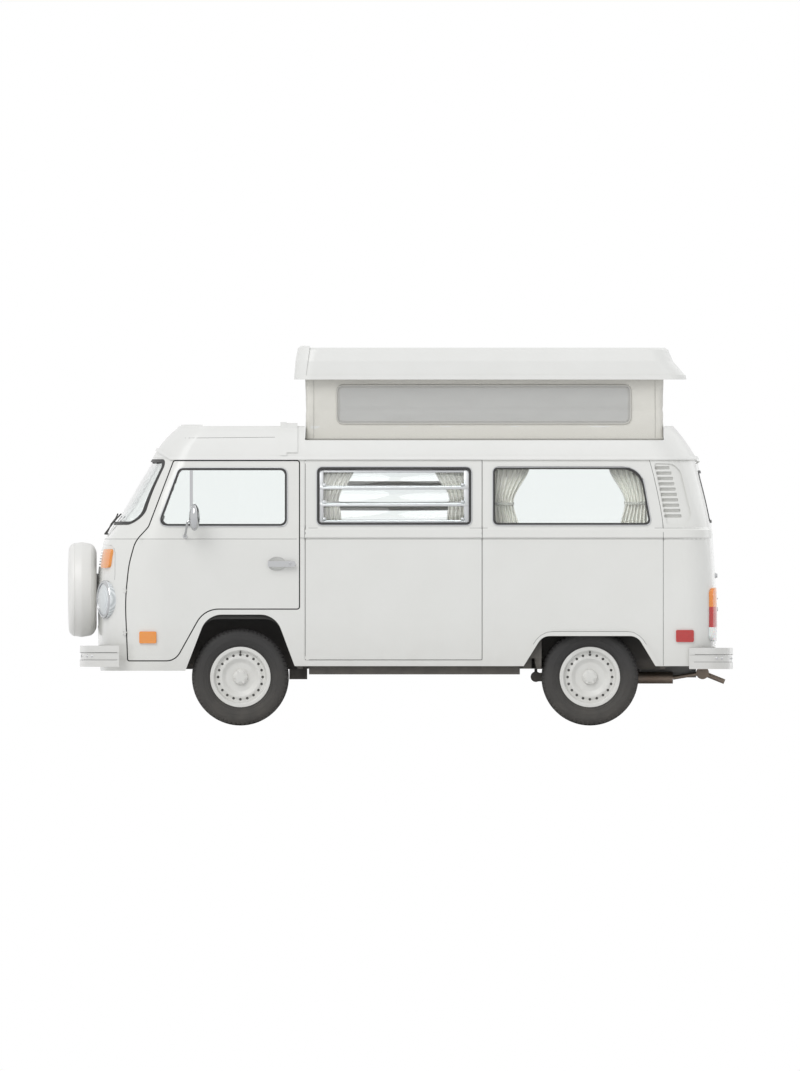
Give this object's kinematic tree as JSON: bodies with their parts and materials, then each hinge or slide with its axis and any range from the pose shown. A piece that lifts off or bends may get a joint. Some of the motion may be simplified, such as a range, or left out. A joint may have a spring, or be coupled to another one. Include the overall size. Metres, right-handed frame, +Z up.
{
  "type": "camper van",
  "caption": "Boxy rear-engined camper van with raised pop-top roof, louvred side window, nose-mounted covered spare wheel and opening doors, tailgate and engine lid.",
  "frame": {"origin": "on the ground, midway between the two ends and the two sides", "axes": "+X towards the tail, +Y towards the vehicle's right side, +Z up"},
  "size_m": [4.5658, 2.1142, 2.6079],
  "materials": {
    "paint": "gloss",
    "white_grp": "satin",
    "bumper_paint": "gloss",
    "canvas": "matt",
    "curtain_cloth": "matt",
    "glass": "clear",
    "seal_rubber": "matt",
    "tyre": "matt",
    "wheel_paint": "satin",
    "aluminium": "satin",
    "chrome": "polished",
    "lamp_glass": "ribbed",
    "signal_plastic": "gloss",
    "black_paint": "satin",
    "floor_paint": "satin",
    "bright_rod": "satin",
    "engine_metal": "rough",
    "exhaust_steel": "dull",
    "black_plastic": "grained",
    "seat_vinyl": "matt",
    "bed_fabric": "matt",
    "wood_laminate": "satin",
    "spare_vinyl": "satin"
  },
  "bodies": {
    "body": {"floor_pan": "floor_paint", "underframe": "black_paint", "nose_panel": "paint", "windscreen_frame": "paint", "left_side": "paint", "right_side": "paint", "sliding_door": "paint", "rear_body": "paint", "roof_base": "white_grp", "fixed_glass": "glass", "window_seals": "seal_rubber", "louvre_window": "aluminium", "dashboard": "black_plastic", "steering_wheel": "black_plastic", "cab_seats": "seat_vinyl", "bed": "bed_fabric", "kitchen_unit": "wood_laminate", "curtains": "curtain_cloth", "front_bumper": "bumper_paint", "rear_bumper": "bumper_paint", "spare_cover": "spare_vinyl", "headlamps": "lamp_glass", "signal_lamps": "signal_plastic", "wipers": "black_paint", "front_axle": "black_paint", "rear_axle": "black_paint", "engine": "engine_metal", "exhaust": "exhaust_steel", "roof_posts": "aluminium"},
    "cab_door_left": {"cab_door_left": "paint", "cab_door_left_glass": "glass", "cab_door_left_seal": "seal_rubber", "cab_door_left_fittings": "chrome", "cab_door_left_marker": "signal_plastic"},
    "cab_door_right": {"cab_door_right": "paint", "cab_door_right_glass": "glass", "cab_door_right_seal": "seal_rubber", "cab_door_right_fittings": "chrome", "cab_door_right_marker": "signal_plastic"},
    "tailgate": {"tailgate": "paint", "tailgate_glass": "glass", "tailgate_seal": "seal_rubber"},
    "engine_lid": {"engine_lid": "paint"},
    "fuel_flap": {"fuel_flap": "paint"},
    "pop_top": {"roof_cap": "white_grp", "cap_posts": "bright_rod", "tent": "canvas"},
    "knuckle_left": {"knuckle_left": "black_paint"},
    "knuckle_right": {"knuckle_right": "black_paint"},
    "wheel_front_left": {"wheel_front_left": "wheel_paint", "tyre_front_left": "tyre"},
    "wheel_front_right": {"wheel_front_right": "wheel_paint", "tyre_front_right": "tyre"},
    "wheel_rear_left": {"wheel_rear_left": "wheel_paint", "tyre_rear_left": "tyre"},
    "wheel_rear_right": {"wheel_rear_right": "wheel_paint", "tyre_rear_right": "tyre"}
  },
  "joints": [
    {"name": "steer_left", "type": "hinge", "parent": "body", "child": "knuckle_left", "pos_m": [-1.099, -0.59, 0.333], "axis": [0, 0, 1], "range_deg": [-28, 28]},
    {"name": "steer_right", "type": "hinge", "parent": "body", "child": "knuckle_right", "pos_m": [-1.099, 0.59, 0.333], "axis": [0, 0, 1], "range_deg": [-28, 28]},
    {"name": "wheel_front_left_spin", "type": "hinge", "parent": "knuckle_left", "child": "wheel_front_left", "pos_m": [-1.099, -0.695, 0.333], "axis": [0, 1, 0], "continuous": true},
    {"name": "wheel_front_right_spin", "type": "hinge", "parent": "knuckle_right", "child": "wheel_front_right", "pos_m": [-1.099, 0.695, 0.333], "axis": [0, 1, 0], "continuous": true},
    {"name": "wheel_rear_left_spin", "type": "hinge", "parent": "body", "child": "wheel_rear_left", "pos_m": [1.301, -0.695, 0.333], "axis": [0, 1, 0], "continuous": true},
    {"name": "wheel_rear_right_spin", "type": "hinge", "parent": "body", "child": "wheel_rear_right", "pos_m": [1.301, 0.695, 0.333], "axis": [0, 1, 0], "continuous": true},
    {"name": "cab_door_left_hinge", "type": "hinge", "parent": "body", "child": "cab_door_left", "pos_m": [-1.89, -0.78144, 0.785], "axis": [0, 0, -1], "range_deg": [0, 70]},
    {"name": "cab_door_right_hinge", "type": "hinge", "parent": "body", "child": "cab_door_right", "pos_m": [-1.89, 0.78144, 0.785], "axis": [0, 0, 1], "range_deg": [0, 70]},
    {"name": "tailgate_hinge", "type": "hinge", "parent": "body", "child": "tailgate", "pos_m": [2.04793, 0, 1.81133], "axis": [0, -1, 0], "range_deg": [0, 80]},
    {"name": "engine_lid_hinge", "type": "hinge", "parent": "body", "child": "engine_lid", "pos_m": [2.17436, 0, 0.8715], "axis": [0, -1, 0], "range_deg": [0, 70]},
    {"name": "fuel_flap_hinge", "type": "hinge", "parent": "body", "child": "fuel_flap", "pos_m": [0.69725, 0.86387, 0.985], "axis": [0, 0, 1], "range_deg": [0, 90]},
    {"name": "pop_top_lift", "type": "slide", "parent": "body", "child": "pop_top", "axis": [0, 0, 1], "range_m": [-0.29, 0], "deforming": ["tent"]}
  ],
  "couplings": [
    {"joint": "steer_right", "follows": "steer_left", "ratio": 1}
  ]
}
